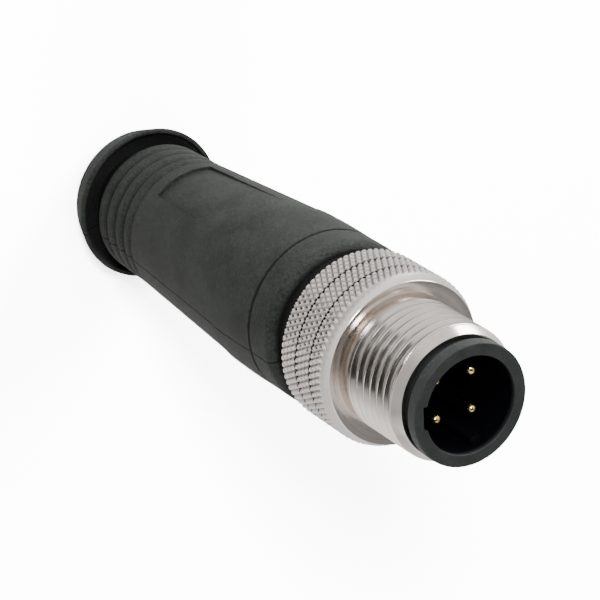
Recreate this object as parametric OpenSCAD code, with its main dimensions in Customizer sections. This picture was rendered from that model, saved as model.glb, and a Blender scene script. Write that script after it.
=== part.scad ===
// M12 circular plug, four contacts, moulded grip and knurled coupling screw.
// +Z runs along the plug axis out of the contact face, and z = 0 is the flat rear face.

/* [Contacts] */
// Diameter of a contact pin
pin_d = 1.0; // [0.8:0.05:1.2]
// Diameter of the circle that the pins stand on
pin_circle_d = 5.0; // [4.6:0.1:5.2]
// Length of the close hole that holds a pin in front of its collar
pin_grip_len = 3.0; // [2:0.1:4]
// Depth of the pin tips below the front rim
pin_recess = 2.2; // [1:0.1:4]
// Diameter of the retaining collar on a pin
pin_collar_d = 1.6; // [1.4:0.05:1.8]
// Length of the retaining collar on a pin
pin_collar_len = 4.0; // [2:0.5:6]
// Diameter of the solder tail
tail_d = 0.6; // [0.5:0.05:0.65]

/* [Contact insert] */
// Inner diameter of the cup round the pins
cup_bore_d = 8.6; // [8.2:0.1:8.8]
// Depth of the cup
cup_depth = 9.5; // [7:0.5:10]
// Diameter of the cup's front flange
cup_flange_d = 10.86; // [10.5:0.05:11.2]
// Thickness of the cup's front flange
cup_flange_len = 1.15; // [0.8:0.05:1.6]
// Width of the keyway in the cup wall
keyway_w = 2.2; // [1.6:0.1:2.6]
// Depth of the keyway in the cup wall
keyway_depth = 0.3; // [0.15:0.05:0.35]
// Width and height of the coding rib
coding_rib_w = 0.85; // [0.6:0.05:1.0]
// Angle of the coding rib round the axis, in degrees
coding_rib_angle = 284.5; // [255:0.5:300]
// Thickness of the shoulder behind the coupling screw
shoulder_len = 1.4; // [1:0.1:2]
// Length of insert that stands back inside the inner shell
insert_tail_len = 4.05; // [3:0.05:6]

/* [Coupling screw] */
// Major diameter of the coupling thread
thread_d = 12.0; // [11.8:0.05:12.4]
// Length of the thread
thread_len = 6.5; // [5:0.1:8]
// Length of the chamfered nose in front of the thread
nose_len = 1.0; // [0.6:0.1:1.4]
// Width of the relief behind the thread
relief_len = 0.45; // [0.3:0.05:0.8]
// Bore that turns on the insert
screw_bore_d = 9.9; // [9.6:0.05:10]
// Diameter over the knurl
knurl_d = 15.7; // [15:0.1:16.5]
// Length of the knurled part
knurl_len = 5.95; // [4.5:0.05:8]
// Number of knurled bands
knurl_bands = 3; // [2:1:4]
// Width of the grooves between the bands
knurl_groove_w = 0.36; // [0.2:0.02:0.5]
// Depth of the grooves between the bands
knurl_groove_depth = 0.32; // [0.2:0.02:0.5]
// Outer diameter of the screw's front face
screw_face_d = 14.6; // [14:0.1:15]
// Length of the smooth cone between the knurl and the front face
screw_cone_len = 1.1; // [0.6:0.1:1.6]

/* [Grip] */
// Diameter of the rear face
flange_back_d = 13.2; // [12:0.1:14]
// Largest diameter of the rear flange
flange_d = 14.82; // [14:0.02:16]
// Thickness of the rear flange
flange_len = 2.95; // [2:0.05:4]
// Diameter at the bottom of the undercut
undercut_d = 10.6; // [9:0.1:11.5]
// Width of the undercut
undercut_len = 1.1; // [0.8:0.1:2]
// Diameter of the rearmost rib
rib_d = 12.8; // [12:0.1:13.4]
// Number of ribs round the neck
rib_count = 4; // [2:1:6]
// Spacing of the ribs
rib_pitch = 1.74; // [1.4:0.02:2.2]
// Depth of the grooves between the ribs
rib_depth = 0.26; // [0.1:0.02:0.4]
// Diameter at the rear end of the taper
neck_d = 13.16; // [12.6:0.02:14]
// Length of the taper
taper_len = 17.2; // [12:0.1:24]
// Depth that the grip's collar stands back from the knurl
grip_setback = 0.15; // [0.05:0.05:0.5]
// Length of the collar
collar_len = 6.6; // [4:0.1:10]
// Width of the groove between the collar and the front band
band_groove_w = 0.36; // [0.2:0.02:0.6]
// Depth of the groove between the collar and the front band
band_groove_depth = 0.4; // [0.2:0.05:0.6]
// Length of the front band
band_len = 3.35; // [2.4:0.05:5]
// Radius of the front band's rounded edge
band_round = 0.8; // [0.4:0.05:0.9]
// Diameter of the spigot behind the coupling screw
spigot_d = 13.2; // [12.6:0.1:13.8]
// Length of the spigot
spigot_len = 2.0; // [1.4:0.1:3]
// Angle of the thumb panel round the axis, in degrees
panel_angle = 104.5; // [90:0.5:120]
// Width of the thumb panel, in degrees
panel_span = 53; // [30:1:70]
// Depth of the thumb panel at its rear edge
panel_depth = 0.28; // [0.1:0.02:0.4]

/* [Inner shell] */
// Wall of the shell round the terminating network
shell_wall = 0.78; // [0.6:0.02:1]
// Length of the shell
shell_len = 15.0; // [12:0.5:20]
// Thickness of the shell's closed end
shell_end = 1.2; // [0.8:0.1:2]
// Number of anchor grooves for the overmoulding
anchor_count = 3; // [1:1:4]
// Spacing of the anchor grooves
anchor_pitch = 3.4; // [2.8:0.1:4]
// Width of an anchor groove
anchor_w = 1.2; // [0.8:0.1:1.6]
// Depth of an anchor groove
anchor_depth = 0.3; // [0.1:0.05:0.4]
// Distance of the first anchor groove from the closed end
anchor_setback = 2.0; // [1:0.1:3]

/* [Terminating network] */
// Diameter of the circuit board
board_d = 9.4; // [9:0.1:9.6]
// Thickness of the circuit board
board_t = 1.0; // [0.8:0.1:1.6]
// Length of a chip resistor
chip_len = 2.0; // [1.6:0.1:2.2]
// Width of a chip resistor
chip_w = 1.25; // [0.8:0.05:1.3]
// Height of a chip resistor
chip_h = 0.5; // [0.4:0.05:0.7]
// Distance of the outer resistors from the axis
chip_offset = 3.35; // [3.2:0.05:3.5]

/* [Fits] */
// Radial running clearance of the coupling screw on the insert
run_clearance = 0.05; // [0.02:0.01:0.09]
// Axial play of the coupling screw against the spigot
rear_play = 0.3; // [0.2:0.05:0.6]
// Axial travel of the coupling screw behind the cup flange
front_play = 0.8; // [0.4:0.05:1.2]
// Gap between pieces that seat on each other
seat_gap = 0.02; // [0.01:0.01:0.05]

/* [Hidden] */
$fn = 96;

// Stations along the axis, from the rear face forwards
ribs_z = flange_len + undercut_len;
taper_z = ribs_z + rib_count * rib_pitch;
collar_z = taper_z + taper_len;
band_z = collar_z + collar_len;
grip_z = band_z + band_len;
spigot_z = grip_z + spigot_len;
screw_z = spigot_z + rear_play;
knurl_z = screw_z + knurl_len;
face_z = knurl_z + screw_cone_len;
thread_z = face_z + relief_len;
nose_z = thread_z + thread_len;
rim_z = nose_z + nose_len;
cup_flange_z = rim_z + front_play;
front_z = cup_flange_z + cup_flange_len;
cup_floor_z = front_z - cup_depth;

// Stations of the thumb panels
panel_setback = 1.9;
panel_run_out = 0.05;
panel_rear_z = taper_z + panel_setback;
panel_front_z = collar_z - 0.2;

// Stations of what is inside the grip
spigot_lip = 0.7;
shoulder_z = spigot_z - spigot_lip;
shell_front_z = shoulder_z - shoulder_len;
shell_rear_z = shell_front_z - shell_len;
insert_rear_z = shell_front_z - insert_tail_len;
board_z = insert_rear_z - seat_gap - board_t;
pin_tip_z = front_z - pin_recess;
pin_collar_z = cup_floor_z - pin_grip_len - pin_collar_len;
tail_stand = 0.9;
pin_rear_z = board_z - tail_stand;

barrel_r = screw_bore_d / 2 - run_clearance;
shell_bore_r = barrel_r + seat_gap;
shell_d = 2 * (shell_bore_r + shell_wall);
collar_d = knurl_d - 2 * grip_setback;
keyway_angle = 180;
first_pin_angle = 45;
cup_chamfer = 0.12;
rim_chamfer = 0.4;
flange_lip = 0.45;
flange_recess = 0.75;
back_round = 0.4;
crease_step = 0.08;
collar_crown = 0.06;
eps = 0.01;

// Points of a quarter round of radius r about (cx, cz), from angle a0 to a1
function round_edge(cx, cz, r, a0, a1, n = 6) =
    [for (i = [0:n]) let (a = a0 + (a1 - a0) * i / n) [cx + r * cos(a), cz + r * sin(a)]];

// Radius of the ribbed neck where rib i stands
function rib_r(i) = rib_d / 2 + (neck_d - rib_d) / 2 * i / rib_count;

// Crowned section of one rib, full height in the middle and rib_depth lower in the grooves
function rib_section(i, n = 8) =
    [for (k = [0:n]) let (t = k / n) [rib_r(i) - rib_depth * pow(abs(2 * t - 1), 3), ribs_z + (i + t) * rib_pitch]];

// Radius of the taper at height z
function taper_r(z) = neck_d / 2 + (collar_d / 2 - crease_step - neck_d / 2) * (z - taper_z) / taper_len;

// Radial place of contact i, counted from 1
function pin_angle(i) = first_pin_angle + 90 * (i - 1);

// Outer section of the grip, from the axis at the rear face to the spigot's front
function grip_section() = concat(
    [[0, 0]],
    round_edge(flange_back_d / 2 - back_round, back_round, back_round, -90, -16),
    round_edge(flange_d / 2 - 0.25, flange_len - 0.25, 0.25, -16, 90),
    [[flange_d / 2 - flange_lip, flange_len],
     [flange_d / 2 - flange_lip, flange_len - flange_recess],
     [undercut_d / 2, flange_len - flange_recess],
     [undercut_d / 2, ribs_z]],
    [for (i = [0:rib_count - 1]) each rib_section(i)],
    [[neck_d / 2 - rib_depth / 3, taper_z + 0.12],
     [taper_r(taper_z + 0.4), taper_z + 0.4],
     [taper_r(collar_z), collar_z]],
    [for (k = [0:8]) let (t = k / 8)
        [collar_d / 2 + collar_crown * (1 - pow(2 * t - 1, 2)), collar_z + t * (collar_len - band_groove_w / 2)]],
    [[collar_d / 2 - band_groove_depth, band_z - band_groove_w / 4],
     [collar_d / 2 - band_groove_depth, band_z + band_groove_w / 4],
     [collar_d / 2, band_z + band_groove_w / 2]],
    round_edge(collar_d / 2 - band_round, grip_z - band_round, band_round, 0, 90),
    [[spigot_d / 2, grip_z],
     [spigot_d / 2, spigot_z - 0.2],
     [spigot_d / 2 - 0.2, spigot_z],
     [0, spigot_z]]);

// Outer section of the inner shell, grown by g all round
function shell_section(g = 0) = concat(
    [[0, shell_rear_z - g], [shell_d / 2 + g, shell_rear_z - g]],
    [for (k = [0:anchor_count - 1]) let (z = shell_rear_z + anchor_setback + k * anchor_pitch) each [
        [shell_d / 2 + g, z + g],
        [shell_d / 2 - anchor_depth + g, z + g],
        [shell_d / 2 - anchor_depth + g, z + anchor_w - g],
        [shell_d / 2 + g, z + anchor_w - g]]],
    [[shell_d / 2 + g, shell_front_z + g], [0, shell_front_z + g]]);

// Shallow panel with a step at its rear edge, which runs out just behind the collar
module thumb_panel(angle) {
    rotate([0, 0, angle - panel_span / 2])
        rotate_extrude(angle = panel_span)
            polygon([[taper_r(panel_rear_z) - panel_depth, panel_rear_z],
                     [collar_d, panel_rear_z],
                     [collar_d, panel_front_z],
                     [taper_r(panel_front_z) + panel_run_out, panel_front_z]]);
}

module grip_body() {
    color([0.27, 0.29, 0.28])
    difference() {
        rotate_extrude() polygon(grip_section());
        rotate_extrude() polygon(shell_section(seat_gap));
        translate([0, 0, shell_front_z])
            cylinder(r = shell_d / 2 + seat_gap, h = shoulder_len + seat_gap);
        translate([0, 0, shoulder_z])
            cylinder(r = barrel_r + seat_gap, h = spigot_lip + eps);
        thumb_panel(panel_angle);
        thumb_panel(panel_angle + 180);
    }
}

module inner_shell() {
    color([0.16, 0.17, 0.18])
    difference() {
        rotate_extrude() polygon(shell_section(0));
        translate([0, 0, shell_rear_z + shell_end])
            cylinder(r = shell_bore_r, h = shell_len);
    }
}

// Stepped hole for one contact: close on the pin in front, and on its collar behind
module contact_hole() {
    translate([pin_circle_d / 2, 0, pin_collar_z])
        cylinder(d = pin_d + 2 * seat_gap, h = cup_floor_z - pin_collar_z + eps);
    translate([pin_circle_d / 2, 0, insert_rear_z - eps])
        cylinder(d = pin_collar_d + 2 * seat_gap, h = pin_collar_z + pin_collar_len - insert_rear_z + eps);
}

module contact_insert() {
    color([0.22, 0.25, 0.24])
    union() {
        difference() {
            rotate_extrude() polygon([
                [0, insert_rear_z],
                [barrel_r, insert_rear_z],
                [barrel_r, shell_front_z + seat_gap],
                [shell_d / 2, shell_front_z + seat_gap],
                [shell_d / 2, shoulder_z],
                [barrel_r, shoulder_z],
                [barrel_r, cup_flange_z],
                [cup_flange_d / 2, cup_flange_z],
                [cup_flange_d / 2, front_z - cup_chamfer],
                [cup_flange_d / 2 - cup_chamfer, front_z],
                [cup_bore_d / 2 + cup_chamfer, front_z],
                [cup_bore_d / 2, front_z - cup_chamfer],
                [cup_bore_d / 2, cup_floor_z],
                [0, cup_floor_z]]);
            rotate([0, 0, keyway_angle])
                translate([0, -keyway_w / 2, cup_floor_z])
                    cube([cup_bore_d / 2 + keyway_depth, keyway_w, cup_depth + eps]);
            for (i = [1:4]) rotate([0, 0, pin_angle(i)]) contact_hole();
        }
        rotate([0, 0, coding_rib_angle])
            translate([cup_bore_d / 2 - coding_rib_w, -coding_rib_w / 2, cup_floor_z - eps])
                cube([coding_rib_w + 0.1, coding_rib_w, cup_depth - 0.8]);
    }
}

// Section of the coupling screw, from the bore's rear edge round to its front edge
module screw_section() {
    band_pitch = knurl_len / knurl_bands;
    difference() {
        polygon([
            [screw_bore_d / 2 + 0.3, screw_z],
            [knurl_d / 2 - 0.15, screw_z],
            [knurl_d / 2, screw_z + 0.15],
            [knurl_d / 2, knurl_z],
            [screw_face_d / 2, face_z],
            [thread_d / 2 - 0.4, face_z - 0.08],
            [thread_d / 2 - 0.4, thread_z - 0.15],
            [thread_d / 2, thread_z],
            [thread_d / 2, nose_z],
            [thread_d / 2 - 0.5, rim_z],
            [screw_bore_d / 2 + rim_chamfer, rim_z],
            [screw_bore_d / 2, rim_z - rim_chamfer],
            [screw_bore_d / 2, screw_z + 0.3]]);
        for (k = [1:knurl_bands - 1])
            translate([knurl_d / 2, screw_z + k * band_pitch])
                polygon([[eps, -knurl_groove_w / 2], [eps, knurl_groove_w / 2],
                         [-knurl_groove_depth, 0.04], [-knurl_groove_depth, -0.04]]);
    }
}

module coupling_screw() {
    color([0.78, 0.76, 0.73])
    rotate_extrude() screw_section();
}

// Turned pin: domed tip, plain shank, retaining collar with a barb, thin solder tail
module contact_pin(i) {
    pin_r = pin_d / 2;
    collar_r = pin_collar_d / 2;
    collar_top_z = pin_collar_z + pin_collar_len;
    barb = 0.06;
    color([0.93, 0.76, 0.38])
    rotate([0, 0, pin_angle(i)])
    translate([pin_circle_d / 2, 0, 0])
        rotate_extrude($fn = 48) polygon(concat(
            [[0, pin_rear_z],
             [tail_d / 2 - 0.1, pin_rear_z],
             [tail_d / 2, pin_rear_z + 0.1],
             [tail_d / 2, pin_collar_z - 0.4],
             [collar_r - barb, pin_collar_z - 0.4],
             [collar_r - barb, collar_top_z - 1.2],
             [collar_r, collar_top_z - 1.2],
             [collar_r, collar_top_z - seat_gap],
             [pin_r, collar_top_z - seat_gap]],
            round_edge(0, pin_tip_z - pin_r, pin_r, 0, 90, 8)));
}

module circuit_board() {
    color([0.1, 0.36, 0.2])
    difference() {
        translate([0, 0, board_z]) cylinder(d = board_d, h = board_t);
        for (i = [1:4])
            rotate([0, 0, pin_angle(i)])
                translate([pin_circle_d / 2, 0, board_z - eps])
                    cylinder(d = tail_d + 2 * seat_gap, h = board_t + 2 * eps, $fn = 48);
    }
}

// Fillet of solder round one tail, on the rear of the board
module solder_joint(i) {
    color([0.7, 0.7, 0.72])
    rotate([0, 0, pin_angle(i)])
    translate([pin_circle_d / 2, 0, 0])
        rotate_extrude($fn = 48) polygon([
            [tail_d / 2 + seat_gap, board_z - seat_gap],
            [tail_d / 2 + 0.4, board_z - seat_gap],
            [tail_d / 2 + 0.16, board_z - 0.3],
            [tail_d / 2 + seat_gap, board_z - 0.65]]);
}

// Chip resistor with wrapped metal ends, lying across the rear of the board
module resistor(x, turn) {
    cap_len = chip_len / 6;
    color([0.12, 0.12, 0.13])
    translate([x, 0, board_z - seat_gap - chip_h])
    rotate([0, 0, turn]) {
        translate([-chip_len / 2 + cap_len - eps, -chip_w / 2 + 0.03, 0.03])
            cube([chip_len - 2 * cap_len + 2 * eps, chip_w - 0.06, chip_h - 0.06]);
        for (s = [-1, 1])
            translate([s * (chip_len - cap_len) / 2 - cap_len / 2, -chip_w / 2, 0])
                cube([cap_len, chip_w, chip_h]);
    }
}

grip_body();
inner_shell();
contact_insert();
coupling_screw();
contact_pin(1);  // contact_pin_1
contact_pin(2);  // contact_pin_2
contact_pin(3);  // contact_pin_3
contact_pin(4);  // contact_pin_4
circuit_board();
solder_joint(1);  // solder_joint_1
solder_joint(2);  // solder_joint_2
solder_joint(3);  // solder_joint_3
solder_joint(4);  // solder_joint_4
resistor(-chip_offset, 90);  // resistor_1
resistor(0, 0);  // resistor_2
resistor(chip_offset, 90);  // resistor_3
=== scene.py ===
# %% [markdown]
# # An M12 circular plug
# A field plug for sensors: a knurled screw of nickel-plated brass turns on a plastic insert that
# holds four gold pins, and a soft moulded grip sits behind. The CAD model fixes every size and place.
# This lesson gives each piece its true surface: a turned outline for what is turned or moulded
# round, a rolled knurl, a cut thread, and procedural finishes. Lengths are in millimetres while a
# piece is modelled, and each finished piece is brought down to metres as its last step.

# %% Load the frame
import math

import bpy
from mathutils import Matrix, Vector


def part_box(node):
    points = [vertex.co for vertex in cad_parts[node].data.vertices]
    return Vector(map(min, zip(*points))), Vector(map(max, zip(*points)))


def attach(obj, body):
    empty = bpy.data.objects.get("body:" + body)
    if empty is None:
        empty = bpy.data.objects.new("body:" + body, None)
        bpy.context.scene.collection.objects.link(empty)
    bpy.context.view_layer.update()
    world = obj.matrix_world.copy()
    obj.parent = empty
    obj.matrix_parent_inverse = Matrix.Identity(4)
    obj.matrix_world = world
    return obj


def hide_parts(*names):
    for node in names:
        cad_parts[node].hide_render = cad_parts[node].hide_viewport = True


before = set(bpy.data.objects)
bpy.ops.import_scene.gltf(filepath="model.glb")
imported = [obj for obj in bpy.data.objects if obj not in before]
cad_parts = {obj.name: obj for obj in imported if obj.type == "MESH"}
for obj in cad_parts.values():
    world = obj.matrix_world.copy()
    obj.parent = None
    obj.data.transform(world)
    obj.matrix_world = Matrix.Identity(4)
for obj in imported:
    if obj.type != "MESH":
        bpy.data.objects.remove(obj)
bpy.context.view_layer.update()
MM = 0.001


def span_mm(node):
    """Lowest and highest point of a CAD node along the plug axis, in millimetres."""
    low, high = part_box(node)
    return low.z / MM, high.z / MM


# %% [markdown]
# ## Camera
# The plug stands on its flat rear end, as it would on a bench. The camera looks down on the contact
# face with a long lens, and is rolled so that the plug lies across the picture from upper left to
# lower right. Azimuth, elevation and roll are easier to read than a matrix, so the matrix is built
# from them.

# %% Camera
LENS_MM = 173.3
CAMERA_DISTANCE = 254.6
CAMERA_AZIMUTH = math.radians(-131.1)
CAMERA_ELEVATION = math.radians(52.28)
CAMERA_ROLL = math.radians(122.31)
CAMERA_AIM = Vector((-0.12, -0.13, 30.81))
NEAR_CLIP_M = 0.01


def turned_camera_matrix():
    """Place and attitude of a camera that looks at CAMERA_AIM with the stated roll."""
    flat = math.cos(CAMERA_ELEVATION)
    back_x = math.sin(CAMERA_AZIMUTH) * flat
    back_y = -math.cos(CAMERA_AZIMUTH) * flat
    back = Vector((back_x, back_y, math.sin(CAMERA_ELEVATION)))
    level_right = Vector((0, 0, 1)).cross(back).normalized()
    level_up = back.cross(level_right)
    up = math.cos(CAMERA_ROLL) * level_up - math.sin(CAMERA_ROLL) * level_right
    right = up.cross(back)
    turn = Matrix((right, up, back)).transposed().to_4x4()
    return Matrix.Translation((CAMERA_AIM + back * CAMERA_DISTANCE) * MM) @ turn


camera_data = bpy.data.cameras.new("studio_camera")
camera_data.lens = LENS_MM
camera_data.clip_start = NEAR_CLIP_M
camera = bpy.data.objects.new("studio_camera", camera_data)
bpy.context.scene.collection.objects.link(camera)
camera.matrix_world = turned_camera_matrix()
bpy.context.scene.camera = camera
print("camera at", [round(v, 3) for v in camera.location])

# %% [markdown]
# ## Working tools
# Operators act on what is selected and active, and a loaded frame comes in selected. So three small
# helpers pick one object, open it in edit mode and close it again, and every later step uses them.

# %% Selection helpers


def only(obj):
    """Selects one object alone and makes it active."""
    bpy.ops.object.select_all(action="DESELECT")
    obj.select_set(True)
    bpy.context.view_layer.objects.active = obj


def edit(obj):
    """Opens one object in edit mode with everything selected."""
    only(obj)
    bpy.ops.object.mode_set(mode="EDIT")
    bpy.ops.mesh.select_all(action="SELECT")


def close_edit():
    """Leaves edit mode."""
    bpy.ops.object.mode_set(mode="OBJECT")


print("objects selected after loading:", len(bpy.context.selected_objects))

# %% [markdown]
# ### The lathe
# Most of this plug is round, as it was turned from bar or moulded in a turned cavity. A profile could
# also be drawn as a curve and revolved, but a vertex extruded from point to point gives a line whose
# every point is a stated radius and height. The line is spun round the axis, doubles are merged where
# it meets the axis, and the normals are recalculated, because a spin can turn a shape inside out.

# %% The lathe
WELD = 0.0005


def draw_line(name, outline):
    """Extrudes a vertex through (radius, height) points and leaves the line open in edit mode."""
    bpy.ops.object.select_all(action="DESELECT")
    bpy.ops.mesh.primitive_plane_add(size=1)
    obj = bpy.context.object
    obj.name = obj.data.name = name
    edit(obj)
    bpy.ops.mesh.merge(type="CENTER")
    bpy.ops.transform.translate(value=(outline[0][0], 0, outline[0][1]))
    for (r_a, z_a), (r_b, z_b) in zip(outline, outline[1:]):
        bpy.ops.mesh.extrude_vertices_move(TRANSFORM_OT_translate={"value": (r_b - r_a, 0, z_b - z_a)})
    bpy.ops.mesh.select_all(action="SELECT")
    return obj


def lathe(name, outline, steps=192, closed=False):
    """Spins an outline round the plug axis into a closed solid. A closed outline makes a ring."""
    obj = draw_line(name, outline + outline[:1] if closed else outline)
    bpy.ops.mesh.spin(steps=steps, angle=math.tau, center=(0, 0, 0), axis=(0, 0, 1))
    bpy.ops.mesh.select_all(action="SELECT")
    bpy.ops.mesh.remove_doubles(threshold=WELD)
    bpy.ops.mesh.normals_make_consistent(inside=False)
    close_edit()
    return obj


def arc(r, z, radius, start, end, count=6):
    """Points of a rounded edge about (r, z), from one angle to another, in degrees."""
    angles = [math.radians(start + (end - start) * i / count) for i in range(count + 1)]
    return [(r + radius * math.cos(a), z + radius * math.sin(a)) for a in angles]


print("points of a rounded edge:", len(arc(0, 0, 1, 0, 90)))

# %% [markdown]
# ### Cutting and joining
# Slots, holes and ribs are not round about the axis, so they are cut or joined by a Boolean. The
# exact solver is slower than the fast one, but it keeps every piece closed where faces nearly touch.

# %% Cutting and joining
BLOCK_EDGE = 0.06


def combine(target, tool, operation):
    """Applies a Boolean of the tool to the target, and removes the tool."""
    only(target)
    modifier = target.modifiers.new("combine", "BOOLEAN")
    modifier.operation = operation
    modifier.solver = "EXACT"
    modifier.object = tool
    bpy.ops.object.modifier_apply(modifier=modifier.name)
    bpy.data.objects.remove(tool, do_unlink=True)


def add_block(name, size, location, turn=0.0):
    """A block with chamfered edges, of the given size, centred at a place and turned about Z."""
    bpy.ops.object.select_all(action="DESELECT")
    bpy.ops.mesh.primitive_cube_add(size=1, location=location, rotation=(0, 0, turn))
    obj = bpy.context.object
    obj.name = obj.data.name = name
    obj.scale = size
    bpy.ops.object.transform_apply(location=True, rotation=True, scale=True)
    edit(obj)
    bpy.ops.mesh.bevel(offset=BLOCK_EDGE, segments=2)
    close_edit()
    return obj


print("blocks have their edges broken by", BLOCK_EDGE)

# %% [markdown]
# ### The last step of a piece
# A finished piece is scaled to metres in its mesh, so that the object itself stays unscaled. Flat and
# curved faces are told apart by the angle between them. The piece then gets one finish, rides on its
# body, and stands for its CAD node.

# %% Finishing a piece


def finish_piece(obj, material, body, stands_for=(), smooth=32):
    """Brings a piece down to metres, shades it, gives it its finish and hangs it on its body."""
    edit(obj)
    bpy.ops.transform.resize(value=(MM, MM, MM), center_override=(0, 0, 0))
    close_edit()
    bpy.ops.object.shade_smooth_by_angle(angle=math.radians(smooth))
    obj.data.materials.clear()
    obj.data.materials.append(material)
    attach(obj, body)
    if stands_for:
        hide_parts(*stands_for)
    triangles = sum(len(p.vertices) - 2 for p in obj.data.polygons)
    print(obj.name, "rides on", body, "with", triangles, "triangles")


print("a finished piece is scaled by", MM)

# %% [markdown]
# ## Finishes
# Each finish is a small node tree that reads Object coordinates, scaled to millimetres, so that a
# grain has its real size and stays put when the piece turns. The mould leaves a fine pitted grain on
# the grip, and the lathe leaves fine rings on the metal.

# %% Node helpers


class Finish:
    """One material being built: a Principled shader and short ways to add nodes to it."""

    def __init__(self, name, color, roughness, metallic=0.0, specular=0.5):
        self.material = bpy.data.materials.new(name)
        self.material.use_nodes = True
        self.tree = self.material.node_tree
        self.shader = self.tree.nodes["Principled BSDF"]
        self.shader.inputs["Base Color"].default_value = (*color, 1)
        self.shader.inputs["Roughness"].default_value = roughness
        self.shader.inputs["Metallic"].default_value = metallic
        self.shader.inputs["Specular IOR Level"].default_value = specular
        place = self.add("ShaderNodeTexCoord")
        scale = self.add("ShaderNodeMapping")
        scale.inputs["Scale"].default_value = (1 / MM, 1 / MM, 1 / MM)
        self.link(place.outputs["Object"], scale.inputs["Vector"])
        self.position = scale.outputs["Vector"]

    def add(self, kind, **settings):
        """A new node with its settings."""
        node = self.tree.nodes.new(kind)
        for key, value in settings.items():
            setattr(node, key, value)
        return node

    def link(self, source, target):
        """A link from an output to an input."""
        self.tree.links.new(source, target)

    def math(self, operation, first, second=None):
        """A sum on numbers or outputs."""
        node = self.add("ShaderNodeMath", operation=operation)
        for socket, value in zip(node.inputs, (first, second)):
            if isinstance(value, (int, float)):
                socket.default_value = value
            elif value is not None:
                self.link(value, socket)
        return node.outputs[0]

    def noise(self, scale, detail=2.0, vector=None, roughness=0.5):
        """Noise with a scale per millimetre."""
        node = self.add("ShaderNodeTexNoise")
        node.inputs["Scale"].default_value = scale
        node.inputs["Detail"].default_value = detail
        node.inputs["Roughness"].default_value = roughness
        self.link(vector or self.position, node.inputs["Vector"])
        return node.outputs["Fac"]

    def weigh(self, first, second, share):
        """Two values added, with a share for the first and the rest for the second."""
        return self.math("ADD", self.math("MULTIPLY", first, share), self.math("MULTIPLY", second, 1 - share))

    def spread(self, value, low, high, new_low, new_high):
        """A value taken from one range to another."""
        node = self.add("ShaderNodeMapRange")
        numbers = {"From Min": low, "From Max": high, "To Min": new_low, "To Max": new_high}
        for name, number in numbers.items():
            node.inputs[name].default_value = number
        self.link(value, node.inputs["Value"])
        return node.outputs["Result"]

    def blend(self, share, first, second):
        """A color between two colors or outputs."""
        node = self.add("ShaderNodeMix", data_type="RGBA")
        self.link(share, node.inputs["Factor"])
        for socket, value in ((node.inputs["A"], first), (node.inputs["B"], second)):
            if isinstance(value, tuple):
                socket.default_value = (*value, 1)
            else:
                self.link(value, socket)
        return node.outputs["Result"]

    def bump(self, height, distance_mm, strength=1.0, normal=None):
        """A normal that follows a height, on top of another normal."""
        node = self.add("ShaderNodeBump")
        node.inputs["Strength"].default_value = strength
        node.inputs["Distance"].default_value = distance_mm * MM
        self.link(height, node.inputs["Height"])
        if normal:
            self.link(normal, node.inputs["Normal"])
        return node.outputs["Normal"]


print("a finish can", ", ".join(name for name in vars(Finish) if name[0] != "_"))

# %% [markdown]
# ### Marks that follow the axis
# Tool marks and the painted shade in recesses, grooves and valleys all go round with the piece, so
# their masks are made from the radius and the height of a point instead of from a picture. Nothing has
# to be unwrapped, and a mask can be given by the same sizes as the shape.

# %% Round helpers


def cylinder_place(finish):
    """Radius and height of the shaded point, in millimetres."""
    parts = finish.add("ShaderNodeSeparateXYZ")
    finish.link(finish.position, parts.inputs[0])
    x, y, z = parts.outputs
    squares = finish.math("ADD", finish.math("MULTIPLY", x, x), finish.math("MULTIPLY", y, y))
    return finish.math("SQRT", squares), z


def ring_position(finish):
    """A position that only changes with radius and height, for marks left by a lathe."""
    radius, z = cylinder_place(finish)
    joined = finish.add("ShaderNodeCombineXYZ")
    finish.link(radius, joined.inputs["X"])
    finish.link(z, joined.inputs["Y"])
    return joined.outputs[0]


def darken(finish, color, dark, zones):
    """Painted shade: a color that turns dark between a lit and a shaded radius, within a range of heights."""
    radius, z = cylinder_place(finish)
    for low, high, lit_r, shaded_r in zones:
        depth = finish.spread(radius, lit_r, shaded_r, 0, 1)
        above = finish.math("GREATER_THAN", z, low)
        below = finish.math("LESS_THAN", z, high)
        inside = finish.math("MULTIPLY", depth, finish.math("MULTIPLY", above, below))
        color = finish.blend(inside, color, dark)
    return color


# In a zone of painted shade, the clean radius is where the shade begins and the dark radius is where it is
# full.
print("a zone is given as low, high, clean radius, dark radius")

# %% [markdown]
# ## Sizes of the grip
# The grip is one moulding. From the rear it has a flared flange with a hollowed front, a deep
# undercut, ribs that let the neck flex, a long taper, a collar, a thin groove and a front band that
# rounds into a spigot. Its ends come from the CAD node. The sizes between them are named here, before
# the finish, because the finish has painted shade in the recesses and has to know where they are.

# %% Grip sizes
grip_rear, spigot_end = span_mm("grip_body")
shell_rear, shell_front = span_mm("inner_shell")
SEAT_GAP = 0.02
FLANGE_BACK_R = 6.6
FLANGE_R = 7.41
FLANGE_LEN = 2.95
FLANGE_LIP = 0.45
FLANGE_HOLLOW = 0.75
UNDERCUT_R = 5.3
UNDERCUT_LEN = 1.1
RIB_R = 6.4
RIB_COUNT = 4
RIB_PITCH = 1.74
RIB_DEPTH = 0.46
NECK_R = 6.58
TAPER_LEN = 17.2
COLLAR_R = 7.7
COLLAR_LEN = 6.6
COLLAR_CROWN = 0.06
CREASE_STEP = 0.08
EDGE_NOTCH = 0.16
GROOVE_W = 0.36
GROOVE_DEPTH = 0.4
BAND_ROUND = 0.8
SPIGOT_R = 6.6
SPIGOT_LEN = 2.0
SHOULDER_LEN = 1.4
BARREL_R = 4.9
SHELL_R = 5.7

ribs_z = grip_rear + FLANGE_LEN + UNDERCUT_LEN
taper_z = ribs_z + RIB_COUNT * RIB_PITCH
collar_z = taper_z + TAPER_LEN
band_z = collar_z + COLLAR_LEN
grip_front = spigot_end - SPIGOT_LEN
print("stations of the grip:", [round(z, 2) for z in (ribs_z, taper_z, collar_z, band_z, grip_front)])
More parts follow.
